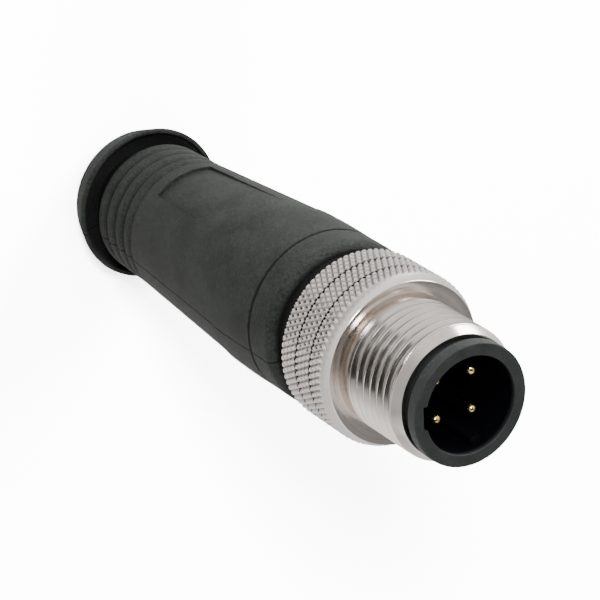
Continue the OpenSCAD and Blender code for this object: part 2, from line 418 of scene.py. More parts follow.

# %% [markdown]
# ### Moulded elastomer
# The grip is a dark grey-green elastomer. The mould was spark-eroded, so the surface is covered in
# pits of a few tenths of a millimetre. A rough noise and a field of pits make the grain, and a slow,
# large noise keeps the colour from being flat. The undercut, the rib valleys, the crease, the groove
# and the recess at the spigot get painted shade in their colour, and a thin line of painted shade
# follows the seam where the two halves of the mould met.

# %% Grip finish
MOULD_LINE_ANGLE = math.radians(192.5)
# Painted shade, for the recesses of the grip and for a line along the mould seam.
RECESS_SHADE_COLOR = (0.001, 0.001, 0.001)
GRIP_DARK = (0.006, 0.0078, 0.0068)
GRIP_LIGHT = (0.0285, 0.0335, 0.029)
# Zones of painted shade: the undercut, the recess at the spigot, the groove, the crease and the rib valleys.
GRIP_SHADE_ZONES = [
    (FLANGE_LEN - FLANGE_HOLLOW - 0.2, ribs_z + 0.05, 6.9, 6.5),
    (grip_front - 0.06, spigot_end + 0.14, 7.1, 6.75),
    (band_z - 0.3, band_z + 0.3, 7.66, 7.45),
    (collar_z - 0.2, collar_z + 0.1, 7.6, 7.45),
    (ribs_z - 0.05, taper_z + 0.3, 6.4, 6.0),
]


def mould_seam(finish):
    """A share of painted shade that is high on the plane in which the two halves of the mould meet."""
    parts = finish.add("ShaderNodeSeparateXYZ")
    finish.link(finish.position, parts.inputs[0])
    side_x = finish.math("MULTIPLY", parts.outputs[0], -math.sin(MOULD_LINE_ANGLE))
    side_y = finish.math("MULTIPLY", parts.outputs[1], math.cos(MOULD_LINE_ANGLE))
    aside = finish.math("ABSOLUTE", finish.math("ADD", side_x, side_y))
    return finish.spread(aside, 0.03, 0.1, 0.85, 0)


def make_grip_finish():
    """Matt grey-green elastomer with a spark-eroded grain."""
    finish = Finish("grip_elastomer", GRIP_LIGHT, 0.6, specular=0.26)
    cloud = finish.noise(0.35, 3)
    speck = finish.noise(3.6, 5, roughness=0.75)
    share = finish.spread(finish.weigh(cloud, speck, 0.25), 0.4, 0.6, 0, 1)
    color = finish.blend(share, GRIP_DARK, GRIP_LIGHT)
    # Painted shade in the recesses and the rib valleys, then a line of it along the mould seam.
    color = darken(finish, color, RECESS_SHADE_COLOR, GRIP_SHADE_ZONES)
    color = finish.blend(mould_seam(finish), color, RECESS_SHADE_COLOR)
    finish.link(color, finish.shader.inputs["Base Color"])
    finish.link(finish.spread(speck, 0.3, 0.7, 0.52, 0.72), finish.shader.inputs["Roughness"])
    pits = finish.add("ShaderNodeTexVoronoi")
    pits.inputs["Scale"].default_value = 5.5
    finish.link(finish.position, pits.inputs["Vector"])
    pit = finish.spread(pits.outputs["Distance"], 0.0, 0.45, 0, 1)
    grain = finish.bump(speck, 0.12, 1.0)
    finish.link(finish.bump(pit, 0.05, 0.7, grain), finish.shader.inputs["Normal"])
    return finish.material


grip_finish = make_grip_finish()
print("made", grip_finish.name)

# %% [markdown]
# ### Insert plastic
# The insert is a glass-filled plastic of nearly the same colour, harder and a little smoother, with
# faint flow marks and the finest of grains. The inside of the cup is painted nearly black and dull, as
# painted shade. One function makes it, and makes the shell's plastic too, as only the colours differ.

# %% Insert finish
# Painted shade for the inside of the cup.
BORE_SHADE_COLOR = (0.0012, 0.0013, 0.0026)
BORE_EDGE_R = 4.36
BORE_EDGE_DROP = 0.05


def make_plastic(name, dark, light, bore=None):
    """Hard moulded plastic with a fine grain. A bore, as radius and height, gets painted shade: darker, with
    less specular.
    """
    finish = Finish(name, dark, 0.5, specular=0.3)
    speck = finish.noise(7.0, 4, roughness=0.7)
    flow = finish.noise(0.7, 2)
    share = finish.spread(finish.weigh(flow, speck, 0.35), 0.38, 0.62, 0, 1)
    color = finish.blend(share, dark, light)
    # The bore is painted dark and dull, as shade.
    if bore:
        radius, z = cylinder_place(finish)
        within = finish.spread(radius, bore[0], bore[0] + 0.06, 1, 0)
        below = finish.spread(z, bore[1] - 0.5, bore[1], 1, 0)
        inside = finish.math("MULTIPLY", within, below)
        color = finish.blend(inside, color, BORE_SHADE_COLOR)
        bore_shade_specular = finish.spread(inside, 0, 1, 0.3, 0.06)
        finish.link(bore_shade_specular, finish.shader.inputs["Specular IOR Level"])
    finish.link(color, finish.shader.inputs["Base Color"])
    finish.link(finish.spread(speck, 0.3, 0.7, 0.42, 0.6), finish.shader.inputs["Roughness"])
    finish.link(finish.bump(speck, 0.05, 0.8), finish.shader.inputs["Normal"])
    return finish.material


insert_rear, insert_front = span_mm("contact_insert")
cup_bore_shade = (BORE_EDGE_R, insert_front - BORE_EDGE_DROP)
insert_finish = make_plastic("insert_plastic", (0.011, 0.0138, 0.013), (0.024, 0.028, 0.0262), cup_bore_shade)
shell_finish = make_plastic("shell_plastic", (0.02, 0.021, 0.022), (0.03, 0.032, 0.034))
print("made", insert_finish.name, "and", shell_finish.name)

# %% [markdown]
# ### Plated metal
# Nickel over brass is a warm, light metal. The tool leaves rings that are closer than a tenth of a
# millimetre, so the noise is stretched round the axis by feeding it only radius and height. Handling
# adds slow changes of roughness. Painted shade darkens the colour between the diamonds of the knurl,
# at the bottom of the thread and in the two narrow grooves, and makes the relief readable.

# %% Metal finishes
# Painted shade colours: light in the thread roots, middle in the knurl's valleys, dark in the two grooves.
PAINTED_SHADE_LIGHT = (0.42, 0.39, 0.37)
PAINTED_SHADE_MIDDLE = (0.34, 0.315, 0.3)
PAINTED_SHADE_DARK = (0.02, 0.018, 0.017)
BAND_GROOVE_OFFSETS = (2.27, 4.47)


def make_turned_metal(name, color, deep, rough_low, rough_high, ring_depth, painted_shade=()):
    """Plated metal with rings from the lathe, and with painted shade of some tint in some zones."""
    finish = Finish(name, color, rough_low, metallic=1.0)
    rings = finish.noise(9.0, 3, ring_position(finish), 0.6)
    wear = finish.noise(0.6, 3)
    mixed = finish.weigh(rings, wear, 0.6)
    tint = finish.blend(finish.spread(mixed, 0.35, 0.65, 0, 1), deep, color)
    # Painted shade in each of its zones.
    for dark, zones in painted_shade:
        tint = darken(finish, tint, dark, zones)
    finish.link(tint, finish.shader.inputs["Base Color"])
    rough = finish.spread(mixed, 0.35, 0.65, rough_low, rough_high)
    finish.link(rough, finish.shader.inputs["Roughness"])
    finish.link(finish.bump(rings, ring_depth, 0.7), finish.shader.inputs["Normal"])
    return finish.material


screw_rear, screw_front = span_mm("coupling_screw")
# Zones of painted shade: the knurl's valleys, the thread roots and the two narrow grooves.
knurl_shade_zone = (screw_rear + 0.1, screw_rear + 5.9, 7.836, 7.75)
thread_root_shade_zone = (screw_rear + 7.8, screw_rear + 13.9, 5.75, 5.5)
groove_shade_zones = [(screw_rear + at - 0.12, screw_rear + at + 0.12, 8.0, 7.9) for at in BAND_GROOVE_OFFSETS]
screw_painted_shade = [(PAINTED_SHADE_MIDDLE, [knurl_shade_zone]), (PAINTED_SHADE_LIGHT, [thread_root_shade_zone]), (PAINTED_SHADE_DARK, groove_shade_zones)]
nickel_finish = make_turned_metal(
    "nickel_plate", (0.8, 0.75, 0.71), (0.68, 0.635, 0.6), 0.11, 0.21, 0.002, screw_painted_shade
)
gold_finish = make_turned_metal("gold_plate", (1.0, 0.77, 0.36), (0.95, 0.68, 0.28), 0.1, 0.2, 0.001)
solder_finish = make_turned_metal("solder", (0.72, 0.73, 0.74), (0.6, 0.61, 0.63), 0.22, 0.35, 0.002)
print("made", nickel_finish.name, gold_finish.name, solder_finish.name)

# %% [markdown]
# ## Grip
# All of the outside is one turned outline. The inside is hollow for the shell, so the outline runs
# back through the cavity to the axis and the spun piece is closed.

# %% Grip outline


def taper_r(z):
    """Radius of the taper at a height."""
    return NECK_R + (COLLAR_R - CREASE_STEP - NECK_R) * (z - taper_z) / TAPER_LEN


def rib_points(index, count=14):
    """A rib with a broad crown that falls away into a narrow groove at each end."""
    crown = RIB_R + (NECK_R - RIB_R) * index / RIB_COUNT
    shares = [i / count for i in range(count + 1)]
    radii = [crown - RIB_DEPTH * abs(2 * t - 1) ** 3 for t in shares]
    return [(r, ribs_z + (index + t) * RIB_PITCH) for r, t in zip(radii, shares)]


def collar_points(count=10):
    """The crowned collar, from the crease to the groove."""
    length = COLLAR_LEN - GROOVE_W / 2
    shares = [i / count for i in range(count + 1)]
    radii = [COLLAR_R + COLLAR_CROWN * (1 - (2 * t - 1) ** 2) for t in shares]
    return [(r, collar_z + t * length) for r, t in zip(radii, shares)]


def rear_points():
    """The flange with its hollowed front, the undercut and the ribs."""
    hollow_r = FLANGE_R - FLANGE_LIP
    hollow_z = FLANGE_LEN - FLANGE_HOLLOW
    points = [(0, grip_rear)]
    points += arc(FLANGE_BACK_R - 0.4, grip_rear + 0.4, 0.4, -90, -16)
    points += arc(FLANGE_R - 0.22, FLANGE_LEN - 0.22, 0.22, -16, 90)
    points += arc(hollow_r + 0.1, FLANGE_LEN - 0.1, 0.1, 90, 180, 3)
    points += [(hollow_r, hollow_z), (UNDERCUT_R, hollow_z), (UNDERCUT_R, ribs_z)]
    for index in range(RIB_COUNT):
        points += rib_points(index)[1 if index else 0:]
    return points


def front_points():
    """The taper with a notch at its crease, the collar, the groove, the front band and the spigot."""
    groove_r = COLLAR_R - GROOVE_DEPTH
    points = [(taper_r(taper_z + 0.15) - 0.06, taper_z + 0.15), (taper_r(taper_z + 0.4), taper_z + 0.4)]
    points += [(taper_r(collar_z), collar_z - 0.08), (taper_r(collar_z) - EDGE_NOTCH, collar_z - 0.01)]
    points += collar_points()
    points += [(groove_r, band_z - GROOVE_W / 4), (groove_r, band_z + GROOVE_W / 4)]
    points += [(COLLAR_R, band_z + GROOVE_W / 2)]
    points += arc(COLLAR_R - BAND_ROUND, grip_front - BAND_ROUND, BAND_ROUND, 0, 90, 10)
    points += [(SPIGOT_R, grip_front)]
    points += arc(SPIGOT_R - 0.2, spigot_end - 0.2, 0.2, 0, 90, 4)
    return points


def cavity_points():
    """The lip hole round the barrel and the cavity of the shell, back to the axis."""
    points = [(BARREL_R + SEAT_GAP, spigot_end), (BARREL_R + SEAT_GAP, shell_front + SHOULDER_LEN)]
    points += [(SHELL_R + SEAT_GAP, shell_front + SHOULDER_LEN + SEAT_GAP)]
    points += [(SHELL_R + SEAT_GAP, shell_rear - SEAT_GAP), (0, shell_rear - SEAT_GAP)]
    return points


grip_outline = rear_points() + front_points() + cavity_points()
grip = lathe("grip_moulding", grip_outline, steps=256)
print("grip outline points:", len(grip_outline))

# %% [markdown]
# ### Thumb panels
# Two shallow panels lie on opposite sides of the taper, where finger and thumb hold the plug. Each
# starts with a step just in front of the ribs and runs out at the collar. The cutter is a thin wedge
# of section, spun through the width of the panel, and a Boolean sinks it into the grip.

# %% Cut the thumb panels
PANEL_ANGLE = 104.5
PANEL_SPAN = 53.0
PANEL_DEPTH = 0.28
PANEL_SETBACK = 1.9
PANEL_RUN_OUT = 0.05
PANEL_FRONT_GAP = 0.2


def panel_cutter(angle):
    """Wedge that cuts one thumb panel, centred on an angle round the axis, in degrees."""
    rear = taper_z + PANEL_SETBACK
    front = collar_z - PANEL_FRONT_GAP
    outline = [
        (taper_r(rear) - PANEL_DEPTH, rear),
        (COLLAR_R + 1, rear),
        (COLLAR_R + 1, front),
        (taper_r(front) + PANEL_RUN_OUT, front),
    ]
    obj = draw_line("panel_cutter", outline)
    bpy.ops.mesh.edge_face_add()
    start = math.radians(angle - PANEL_SPAN / 2)
    bpy.ops.mesh.spin(steps=28, angle=math.radians(PANEL_SPAN), center=(0, 0, 0), axis=(0, 0, 1))
    bpy.ops.mesh.select_all(action="SELECT")
    bpy.ops.mesh.remove_doubles(threshold=WELD)
    bpy.ops.mesh.normals_make_consistent(inside=False)
    close_edit()
    # The spin may run either way round, so the wedge is turned by the edge that it started from.
    furthest = max(math.atan2(v.co.y, v.co.x) for v in obj.data.vertices)
    obj.rotation_euler.z = start if furthest > 0.1 else start + math.radians(PANEL_SPAN)
    bpy.ops.object.transform_apply(location=True, rotation=True, scale=True)
    return obj


for side in (PANEL_ANGLE, PANEL_ANGLE + 180):
    combine(grip, panel_cutter(side), "DIFFERENCE")
print("grip faces after the panels:", len(grip.data.polygons))

# %% [markdown]
# ### Mould line
# The two halves of the mould meet in a plane through the axis and leave a fine line along both sides.
# Three bisecting planes close together give a strip of faces, and the middle row is pushed in along
# its normals, so that the line is a real groove that catches a thin shadow.

# %% Press in the mould line
MOULD_LINE_HALF = 0.06
MOULD_LINE_DEPTH = 0.15
ON_PLANE = 0.001
END_MARGINS = (0.3, 0.1)


def press_mould_line(obj):
    """Cuts a narrow groove where the plane of the mould meets the outside."""
    across = Vector((-math.sin(MOULD_LINE_ANGLE), math.cos(MOULD_LINE_ANGLE), 0))
    edit(obj)
    for offset in (-MOULD_LINE_HALF, MOULD_LINE_HALF, 0):
        bpy.ops.mesh.select_all(action="SELECT")
        bpy.ops.mesh.bisect(plane_co=across * offset, plane_no=across, threshold=0.0001)
    close_edit()
    lowest, highest = grip_rear + END_MARGINS[0], grip_front - END_MARGINS[1]
    for vertex in obj.data.vertices:
        on_plane = abs(vertex.co.dot(across)) < ON_PLANE
        outside = math.hypot(vertex.co.x, vertex.co.y) > SHELL_R + 0.1 or vertex.co.z < ribs_z
        vertex.select = on_plane and outside and lowest < vertex.co.z < highest
    count = sum(v.select for v in obj.data.vertices)
    bpy.ops.object.mode_set(mode="EDIT")
    bpy.ops.mesh.select_mode(type="VERT")
    bpy.ops.transform.shrink_fatten(value=-MOULD_LINE_DEPTH)
    close_edit()
    print("mould line vertices:", count)


press_mould_line(grip)
finish_piece(grip, grip_finish, "plug", ["grip_body"], smooth=28)

# %% [markdown]
# ## Contact insert
# The insert is a thin-walled cup on a barrel. The cup's flange stands in front of the screw. Inside,
# a keyway in the wall and a small rib on it let only the right socket in. It is turned first, then
# the keyway and the contact holes are cut, and the rib is joined on.

# %% Insert sizes and outline
CUP_R = 4.3
CUP_MOUTH_ROUND = 0.12
CUP_DEPTH = 9.5
CUP_FLANGE_R = 5.43
CUP_FLANGE_LEN = 1.15
KEYWAY_W = 2.2
KEYWAY_DEPTH = 0.3
CODING_RIB = 0.85
CODING_RIB_ANGLE = math.radians(284.5)
CODING_RIB_SETBACK = 0.8
cup_floor = insert_front - CUP_DEPTH
flange_rear = insert_front - CUP_FLANGE_LEN
shoulder_front = shell_front + SHOULDER_LEN


def insert_outline():
    """Half section of the insert, from the rear face on the axis to the floor of the cup."""
    points = [(0, insert_rear), (BARREL_R, insert_rear), (BARREL_R, shell_front + SEAT_GAP)]
    points += [(SHELL_R, shell_front + SEAT_GAP), (SHELL_R, shoulder_front), (BARREL_R, shoulder_front)]
    points += [(BARREL_R, flange_rear)]
    points += arc(CUP_FLANGE_R - 0.08, flange_rear + 0.08, 0.08, -90, 0, 3)
    points += arc(CUP_FLANGE_R - 0.15, insert_front - 0.15, 0.15, 0, 90, 5)
    points += arc(CUP_R + CUP_MOUTH_ROUND, insert_front - CUP_MOUTH_ROUND, CUP_MOUTH_ROUND, 90, 180, 4)
    points += [(CUP_R, cup_floor), (0, cup_floor)]
    return points


insert = lathe("contact_insert_moulding", insert_outline(), steps=192)
print("cup floor at", round(cup_floor, 2))

# %% [markdown]
# ### Keyway and coding rib
# The keyway is a slot along the whole cup, and the rib stops a little way behind the rim, so that a
# socket finds the keyway first. Both are blocks, sunk or joined with a small overlap.

# %% Cut the keyway and join the rib
KEYWAY_OVERRUN = 0.5
KEYWAY_LIFT = 0.02
RIB_ROOT = 0.1
keyway_size = (CUP_R + KEYWAY_DEPTH, KEYWAY_W, CUP_DEPTH + KEYWAY_OVERRUN)
keyway_place = (-keyway_size[0] / 2, 0, cup_floor + keyway_size[2] / 2 + KEYWAY_LIFT)
combine(insert, add_block("keyway", keyway_size, keyway_place), "DIFFERENCE")
rib_mid = CUP_R - CODING_RIB / 2 + RIB_ROOT
rib_size = (CODING_RIB + 2 * RIB_ROOT, CODING_RIB, CUP_DEPTH - CODING_RIB_SETBACK)
rib_place = (
    rib_mid * math.cos(CODING_RIB_ANGLE),
    rib_mid * math.sin(CODING_RIB_ANGLE),
    cup_floor - RIB_ROOT + rib_size[2] / 2,
)
combine(insert, add_block("coding_rib", rib_size, rib_place, CODING_RIB_ANGLE), "UNION")
print("coding rib reaches", round(rib_place[2] + rib_size[2] / 2, 2))

# %% [markdown]
# ### Contact holes
# Each contact sits in a stepped hole: a wide part from the rear for its collar, and a narrow part
# through the floor of the cup for its shank. A cylinder for each step is cut out.

# %% Bore the contact holes
PIN_CIRCLE_R = 2.5
PIN_R = 0.5
PIN_GRIP_LEN = 3.0
COLLAR_HOLE_R = 0.82
PIN_SIDES = 48


def corner(quarter):
    """Place of one of the four contacts on their circle."""
    angle = math.radians(45 + 90 * quarter)
    return PIN_CIRCLE_R * math.cos(angle), PIN_CIRCLE_R * math.sin(angle)


def bore(target, quarter, radius, rear, front):
    """Cuts a round hole along the axis, between two heights, at one of the four corners."""
    bpy.ops.object.select_all(action="DESELECT")
    bpy.ops.mesh.primitive_cylinder_add(
        vertices=PIN_SIDES,
        radius=radius,
        depth=front - rear,
        location=(*corner(quarter), (rear + front) / 2),
    )
    drill = bpy.context.object
    bpy.ops.object.transform_apply(location=True)
    combine(target, drill, "DIFFERENCE")


for quarter in range(4):
    bore(insert, quarter, COLLAR_HOLE_R, insert_rear - 3.5, cup_floor - PIN_GRIP_LEN)
    bore(insert, quarter, PIN_R + SEAT_GAP, cup_floor - 7.5, cup_floor + 0.5)
finish_piece(insert, insert_finish, "plug", ["contact_insert"])

# %% [markdown]
# ## Contact pins
# A pin is turned from brass bar and gold plated: a domed tip that finds the socket's sleeve, a plain
# shank, a collar that holds it in the insert, and a thin tail for the solder. The four are alike, and
# each is turned on the axis and then moved to its own corner.

# %% Turn and place the pins
pin_low, pin_tip = span_mm("contact_pin_1")
PIN_COLLAR_R = 0.8
PIN_COLLAR_LEN = 4.0
COLLAR_BARB = 0.15
BARB_LEN = 1.2
TAIL_R = 0.3
TAIL_CHAMFER = 0.1
TAIL_SHOULDER = 0.4
collar_top = cup_floor - PIN_GRIP_LEN
collar_rear = collar_top - PIN_COLLAR_LEN


def pin_outline():
    """Half section of one pin, from tail to tip."""
    shoulder_z = collar_rear - TAIL_SHOULDER
    barb_z = collar_top - BARB_LEN
    seat_z = collar_top - SEAT_GAP
    points = [(0, pin_low), (TAIL_R - TAIL_CHAMFER, pin_low), (TAIL_R, pin_low + TAIL_CHAMFER)]
    points += [(TAIL_R, shoulder_z), (PIN_COLLAR_R - COLLAR_BARB, shoulder_z)]
    points += [(PIN_COLLAR_R - COLLAR_BARB, barb_z), (PIN_COLLAR_R, barb_z)]
    points += [(PIN_COLLAR_R, seat_z), (PIN_R, seat_z), (PIN_R, pin_tip - PIN_R * 1.1)]
    points += arc(0, pin_tip - PIN_R, PIN_R, 6, 90, 7)[:-1]
    return points + [(0, pin_tip)]


for quarter in range(4):
    pin = lathe("pin_" + str(quarter + 1), pin_outline(), steps=PIN_SIDES)
    edit(pin)
    bpy.ops.transform.translate(value=(*corner(quarter), 0))
    close_edit()
    finish_piece(pin, gold_finish, "plug", ["contact_pin_" + str(quarter + 1)])

# %% [markdown]
# ## Coupling screw: the knurled collar
# The knurl is rolled into the bar before the grooves and the front cone are turned, and it is built
# in the same order. It starts with one diamond: a square stood on its corner, with a flat top that is
# inset and raised. A rolled knurl seldom comes to a sharp point, so the top stays flat.

# %% One diamond
KNURL_R = 7.85
KNURL_COUNT = 80
KNURL_DEPTH = 0.15
KNURL_TILE_H = 1.12
KNURL_INSET = 0.16
KNURL_SKIM = 0.01


def knurl_diamond(step, start):
    """One diamond with a flat top, left open in edit mode with everything selected."""
    root = KNURL_R - KNURL_SKIM - KNURL_DEPTH
    bpy.ops.object.select_all(action="DESELECT")
    bpy.ops.mesh.primitive_circle_add(
        vertices=4, radius=1, fill_type="NGON", rotation=(0, math.pi / 2, 0)
    )
    diamond = bpy.context.object
    diamond.name = diamond.data.name = "knurled_bar"
    bpy.ops.object.transform_apply(rotation=True)
    edit(diamond)
    bpy.ops.transform.resize(value=(1, root * math.tan(step / 2), KNURL_TILE_H / 2))
    bpy.ops.transform.translate(value=(root, 0, start))
    bpy.ops.mesh.inset(thickness=KNURL_INSET, depth=0)
    bpy.ops.transform.translate(value=(KNURL_DEPTH, 0, 0))
    bpy.ops.mesh.select_all(action="SELECT")
    return diamond


print("diamond width:", round(math.tau * KNURL_R / KNURL_COUNT, 3), "length:", KNURL_TILE_H)

# %% [markdown]
# ### Knurled bar
# The diamond is spun into a ring, doubled into a second ring that fills its gaps, and stacked into a
# bar. The collar will be what this bar and a turned outline have in common, so the diamonds run out at
# the grooves and on the cone by themselves.

# %% Knurled bar
CORNER_WELD = 0.012
BAR_OVERRUN = 1.0
KNURL_LEN = 5.95
CONE_LEN = 1.1
FACE_R = 7.3
SCREW_BORE_R = 4.95
knurl_front = screw_rear + KNURL_LEN
face_z = knurl_front + CONE_LEN


def knurled_bar():
    """A closed bar covered in diamonds, a little longer than the collar at both ends."""
    step = math.tau / KNURL_COUNT
    start = screw_rear - BAR_OVERRUN
    rows = math.ceil((face_z - screw_rear + 2 * BAR_OVERRUN) / KNURL_TILE_H) + 1
    bar = knurl_diamond(step, start)
    bpy.ops.mesh.spin(
        steps=KNURL_COUNT - 1,
        dupli=True,
        angle=math.tau - step,
        center=(0, 0, 0),
        axis=(0, 0, 1),
        use_auto_merge=False,
    )
    bpy.ops.mesh.select_all(action="SELECT")
    bpy.ops.mesh.duplicate_move(TRANSFORM_OT_translate={"value": (0, 0, KNURL_TILE_H / 2)})
    bpy.ops.transform.rotate(value=step / 2, orient_axis="Z", center_override=(0, 0, 0))
    bpy.ops.mesh.select_all(action="SELECT")
    for _ in range(rows):
        bpy.ops.mesh.duplicate_move(TRANSFORM_OT_translate={"value": (0, 0, KNURL_TILE_H)})
    bpy.ops.mesh.select_all(action="SELECT")
    bpy.ops.mesh.remove_doubles(threshold=CORNER_WELD)
    for height, side in ((start + KNURL_TILE_H, -1), (face_z + BAR_OVERRUN / 2, 1)):
        bpy.ops.mesh.select_all(action="SELECT")
        bpy.ops.mesh.bisect(
            plane_co=(0, 0, height),
            plane_no=(0, 0, side),
            use_fill=True,
            clear_outer=True,
            threshold=0.0001,
        )
    bpy.ops.mesh.select_all(action="SELECT")
    bpy.ops.mesh.normals_make_consistent(inside=False)
    close_edit()
    return bar


print("knurl runs from", round(screw_rear, 2), "to", round(knurl_front, 2))

# %% [markdown]
# ### Turned collar
# The blank of the collar carries the two narrow grooves, the front cone, a face that is dished a
# little, and a shallow relief at the foot of the thread. Its outline is closed, so that the spin gives
# a ring with the bore of the screw.

# %% Turned collar
BAND_GROOVE_HALF = 0.11
BAND_GROOVE_DEPTH = 0.42
REAR_CHAMFER = 0.15
BORE_STEP = 0.3
FOOT_R = SCREW_BORE_R + 0.25
RELIEF_R = 5.6
RELIEF_DROP = 0.09


def collar_outline():
    """Closed half section of the knurled collar, with its grooves, cone, front face and bore."""
    points = [(SCREW_BORE_R + BORE_STEP, screw_rear), (KNURL_R - REAR_CHAMFER, screw_rear)]
    points += [(KNURL_R, screw_rear + REAR_CHAMFER)]
    for offset in BAND_GROOVE_OFFSETS:
        middle = screw_rear + offset
        rear, front = middle - BAND_GROOVE_HALF, middle + BAND_GROOVE_HALF
        points += [(KNURL_R, rear), (KNURL_R - BAND_GROOVE_DEPTH, rear)]
        points += [(KNURL_R - BAND_GROOVE_DEPTH, front), (KNURL_R, front)]
    points += [(KNURL_R, knurl_front), (FACE_R + 0.06, face_z - 0.12)]
    points += arc(FACE_R - 0.04, face_z - 0.1, 0.1, 30, 90, 3)
    points += [(FACE_R - 0.5, face_z - 0.05), (RELIEF_R, face_z - RELIEF_DROP)]
    points += [(FOOT_R, face_z - RELIEF_DROP), (FOOT_R, face_z - 0.5)]
    points += [(SCREW_BORE_R, face_z - 0.6), (SCREW_BORE_R, screw_rear + BORE_STEP)]
    return points


screw = lathe("coupling_screw_turned", collar_outline(), steps=256, closed=True)
combine(screw, knurled_bar(), "INTERSECT")
print("knurled collar faces:", len(screw.data.polygons))

# %% [markdown]
# ## Coupling screw: the thread
# The thread is M12 with a pitch of one millimetre. One tooth of its section, wound up with the Screw
# modifier, makes a threaded bar with more turns than are needed. What the bar and a turned sleeve
# have in common is the threaded sleeve, with clean ends. A plain collar behind it and a chamfered
# nose in front of it are turned separately and joined on.

# %% Threaded bar
THREAD_R = 6.0
THREAD_PITCH = 1.0
THREAD_ROOT_R = 5.459
CREST_SKIM = 0.02
THREAD_START = 46.53
CORE_SHARE = 0.03
RELIEF_LEN = 0.45
NOSE_LEN = 1.0
RIM_CHAMFER = 0.4
thread_rear = face_z + RELIEF_LEN
nose_rear = screw_front - NOSE_LEN


def threaded_bar(turns=10, steps=144):
    """A closed bar with a helical tooth, from one pitch of section."""
    flat, flank = THREAD_PITCH / 8, THREAD_PITCH * 5 / 16
    crest_r = THREAD_R - CREST_SKIM
    tooth = [(THREAD_ROOT_R, 0), (THREAD_ROOT_R, flat), (crest_r, flat + flank)]
    tooth += [(crest_r, 2 * flat + flank), (THREAD_ROOT_R, 2 * (flat + flank))]
    tooth += [(THREAD_ROOT_R, THREAD_PITCH)]
    bar = draw_line("threaded_bar", [(r, z + THREAD_START) for r, z in tooth])
    close_edit()
    winding = bar.modifiers.new("winding", "SCREW")
    winding.screw_offset = THREAD_PITCH
    winding.iterations = turns
    winding.steps = winding.render_steps = steps
    winding.use_merge_vertices = True
    winding.merge_threshold = WELD
    bpy.ops.object.modifier_apply(modifier=winding.name)
    edit(bar)
    bpy.ops.mesh.remove_doubles(threshold=WELD)
    bpy.ops.mesh.select_mode(type="EDGE")
    bpy.ops.mesh.select_non_manifold(
        extend=False,
        use_wire=False,
        use_boundary=True,
        use_multi_face=False,
        use_non_contiguous=False,
        use_verts=False,
    )
    bpy.ops.mesh.extrude_region_move()
    bpy.ops.transform.resize(value=(CORE_SHARE, CORE_SHARE, 1), center_override=(0, 0, 0))
    bpy.ops.mesh.select_all(action="SELECT")
    bpy.ops.mesh.fill_holes(sides=0)
    bpy.ops.mesh.select_all(action="SELECT")
    bpy.ops.mesh.normals_make_consistent(inside=False)
    bpy.ops.mesh.select_mode(type="VERT")
    close_edit()
    return bar


print("thread runs from", round(thread_rear, 2), "to", round(nose_rear, 2))

# %% [markdown]
# ### Sleeve, run-out and nose
# A cutting tool leaves a plain collar where it starts, and the front of a screw is chamfered so that
# it finds its nut. The sleeve is what the threaded bar and a plain ring have in common. The collar and
# the nose are two more rings, joined on, and the whole is joined to the knurled collar.

# %% Threaded sleeve, plain collar and nose
sleeve_outline = [
    (SCREW_BORE_R, thread_rear + 0.3),
    (THREAD_R, thread_rear + 0.3),
    (THREAD_R, nose_rear + 0.05),
    (SCREW_BORE_R, nose_rear + 0.05),
]
neck_outline = [
    (SCREW_BORE_R + 0.004, face_z - 0.3),
    (RELIEF_R - 0.1, face_z - 0.3),
    (RELIEF_R - 0.1, thread_rear - 0.16),
    (THREAD_R - 0.1, thread_rear),
    (THREAD_R - 0.015, thread_rear + 0.06),
    (THREAD_R - 0.015, thread_rear + 0.32),
    (THREAD_ROOT_R - 0.05, thread_rear + 0.62),
    (SCREW_BORE_R + 0.004, thread_rear + 0.62),
]
nose_outline = [
    (SCREW_BORE_R + 0.002, nose_rear - 0.22),
    (THREAD_ROOT_R - 0.05, nose_rear - 0.22),
    (THREAD_R - 0.07, nose_rear + 0.02),
    *arc(THREAD_R - 0.14, nose_rear + 0.12, 0.1, 0, 40, 3),
    *arc(THREAD_R - 0.56, screw_front - 0.08, 0.08, 30, 90, 3),
    (SCREW_BORE_R + RIM_CHAMFER, screw_front),
    (SCREW_BORE_R + 0.002, screw_front - RIM_CHAMFER),
]
sleeve = lathe("threaded_sleeve", sleeve_outline, steps=192, closed=True)
combine(sleeve, threaded_bar(), "INTERSECT")
print("threaded sleeve faces:", len(sleeve.data.polygons))
for name, outline in (("thread_neck", neck_outline), ("thread_nose", nose_outline)):
    combine(sleeve, lathe(name, outline, steps=192, closed=True), "UNION")
combine(screw, sleeve, "UNION")
finish_piece(screw, nickel_finish, "coupling", ["coupling_screw"], smooth=24)

# %% [markdown]
# ## What is inside
# The shell, the board, the solder and the resistors are out of sight behind the grip. Their CAD
# solids already have the right shape, so each only takes its finish.

# %% Finish the hidden pieces
board_finish = make_plastic("board_resist", (0.012, 0.11, 0.04), (0.02, 0.16, 0.06))
chip_finish = make_plastic("chip_ceramic", (0.015, 0.015, 0.017), (0.03, 0.03, 0.033))
hidden = {"inner_shell": (shell_finish, "shell"), "circuit_board": (board_finish, "board")}
hidden.update({"solder_joint_" + str(i): (solder_finish, "solder") for i in range(1, 5)})
hidden.update({"resistor_" + str(i): (chip_finish, "chip") for i in range(1, 4)})
for node, (material, slot) in hidden.items():
    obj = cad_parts[node]
    obj.data.materials.clear()
    obj.data.materials.append(material)
print("finished", len(hidden), "hidden pieces")

# %% [markdown]
# ## Studio: the floor
# The plug stands on a pale sheet of paper. Seen by the camera the sheet is lit up to near white, as
# it is in a catalogue, but it lights and mirrors in the metal as plain paper does. A gain for camera
# rays alone does this, where a brighter lamp would also bleach the plug.

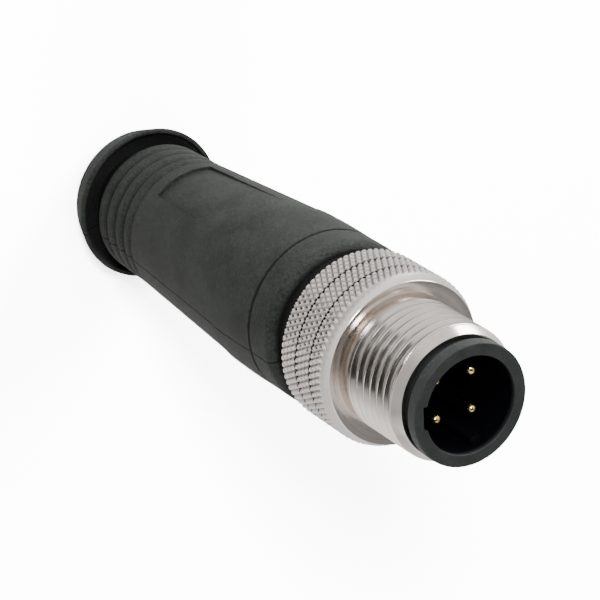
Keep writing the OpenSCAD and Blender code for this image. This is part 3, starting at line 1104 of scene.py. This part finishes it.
# %% Floor
FLOOR_SIZE = 4.0
FLOOR_GAIN = 10.0
bpy.ops.object.select_all(action="DESELECT")
bpy.ops.mesh.primitive_plane_add(size=FLOOR_SIZE, location=(0, 0, 0))
floor = bpy.context.object
floor.name = "studio_floor"
floor_finish = Finish("floor_paper", (0.85, 0.85, 0.85), 0.9, specular=0.1)
fibre = floor_finish.spread(floor_finish.noise(0.05, 2), 0.3, 0.7, 0, 1)
paper_color = floor_finish.blend(fibre, (0.84, 0.84, 0.845), (0.86, 0.86, 0.86))
sheet = floor_finish.add("ShaderNodeBsdfDiffuse")
ray = floor_finish.add("ShaderNodeLightPath")
lit_color = floor_finish.blend(ray.outputs["Is Camera Ray"], paper_color, (FLOOR_GAIN,) * 3)
floor_finish.link(lit_color, sheet.inputs["Color"])
surface = floor_finish.tree.nodes["Material Output"].inputs["Surface"]
floor_finish.link(sheet.outputs["BSDF"], surface)
floor.data.materials.append(floor_finish.material)
print("floor is", FLOOR_SIZE, "m wide")

# %% [markdown]
# ## Studio: the room
# Polished metal shows whatever stands round it, so an even room would make it look like grey plaster.
# Each panel here is a direction in which the room is brighter, or darker where the change is negative.
# The bright sides give the edges their rim, and a dark patch overhead gives the thread its contrast.

# %% Room
ROOM_COLOR = (1.0, 0.985, 0.965, 1)
ROOM_LEVEL = 0.28
ROOM_LEAST = 0.03
ROOM_PANELS = [
    ((0.35, 0.9, 0.3), 0.3, 0.85, 0.9),
    ((-0.15, -0.9, 0.3), 0.55, 0.95, 1.3),
    ((-1.0, 0.15, 0.1), 0.6, 0.95, 0.35),
    ((-0.34, 0.17, 0.92), 0.87, 0.945, -1.5),
]


def add_panel(tree, place, level, toward, edge_low, edge_high, change):
    """Adds a soft-edged change of brightness, in one direction, to a level."""
    dot = tree.nodes.new("ShaderNodeVectorMath")
    dot.operation = "DOT_PRODUCT"
    dot.inputs[1].default_value = Vector(toward).normalized()
    tree.links.new(place.outputs["Generated"], dot.inputs[0])
    edge = tree.nodes.new("ShaderNodeMapRange")
    edge.interpolation_type = "SMOOTHSTEP"
    numbers = {"From Min": edge_low, "From Max": edge_high, "To Min": 0.0, "To Max": change}
    for name, number in numbers.items():
        edge.inputs[name].default_value = number
    tree.links.new(dot.outputs["Value"], edge.inputs["Value"])
    adding = tree.nodes.new("ShaderNodeMath")
    adding.operation = "ADD"
    tree.links.new(edge.outputs["Result"], adding.inputs[0])
    if level is None:
        adding.inputs[1].default_value = ROOM_LEVEL
    else:
        tree.links.new(level, adding.inputs[1])
    return adding.outputs[0]


def make_room():
    """A room whose brightness changes with direction, as softboxes and screens would make it."""
    world = bpy.data.worlds.new("studio_room")
    world.use_nodes = True
    bpy.context.scene.world = world
    tree = world.node_tree
    background = tree.nodes["Background"]
    background.inputs["Color"].default_value = ROOM_COLOR
    place = tree.nodes.new("ShaderNodeTexCoord")
    level = None
    for panel in ROOM_PANELS:
        level = add_panel(tree, place, level, *panel)
    least = tree.nodes.new("ShaderNodeMath")
    least.operation = "MAXIMUM"
    least.inputs[1].default_value = ROOM_LEAST
    tree.links.new(level, least.inputs[0])
    tree.links.new(least.outputs[0], background.inputs["Strength"])


make_room()
print("room has", len(ROOM_PANELS), "panels")

# %% [markdown]
# ## Studio: lights and card
# A small key light from above gives the shadow and the sparks on the metal, and a larger one beside it
# draws the far edge. A black card lies out of the picture, where the thread mirrors it, and takes no
# part in the lighting.

# %% Lights and card
LIGHT_AIM = Vector((0, 0, 0.03))


def add_softbox(name, place, size, power):
    """A square area light at a place, in metres, turned to face the plug."""
    light = bpy.data.lights.new(name, "AREA")
    light.size = size
    light.energy = power
    obj = bpy.data.objects.new(name, light)
    bpy.context.scene.collection.objects.link(obj)
    obj.location = place
    obj.rotation_euler = (Vector(place) - LIGHT_AIM).to_track_quat("Z", "Y").to_euler()


def add_dark_card(name, place, size):
    """A black card out of the picture, seen only in what mirrors it."""
    bpy.ops.object.select_all(action="DESELECT")
    bpy.ops.mesh.primitive_plane_add(size=1, location=place)
    card = bpy.context.object
    card.name = name
    card.scale = (*size, 1)
    bpy.ops.object.transform_apply(location=True, rotation=True, scale=True)
    card.data.materials.append(card_finish.material)
    card.visible_camera = False
    card.visible_diffuse = False
    card.visible_shadow = False


card_finish = Finish("card_paper", (0.01, 0.01, 0.01), 0.9, specular=0.1)
card_shade = card_finish.blend(card_finish.noise(0.2, 2), (0.008,) * 3, (0.014,) * 3)
card_finish.link(card_shade, card_finish.shader.inputs["Base Color"])
add_dark_card("side_card", (-0.036, 0.014, 0.001), (0.026, 0.04))
add_softbox("key_light", (-0.17, 0.27, 0.4), 0.09, 1.9)
add_softbox("edge_light", (0.3, 0.26, 0.1), 0.2, 2.0)
print("two lights and a card are up")
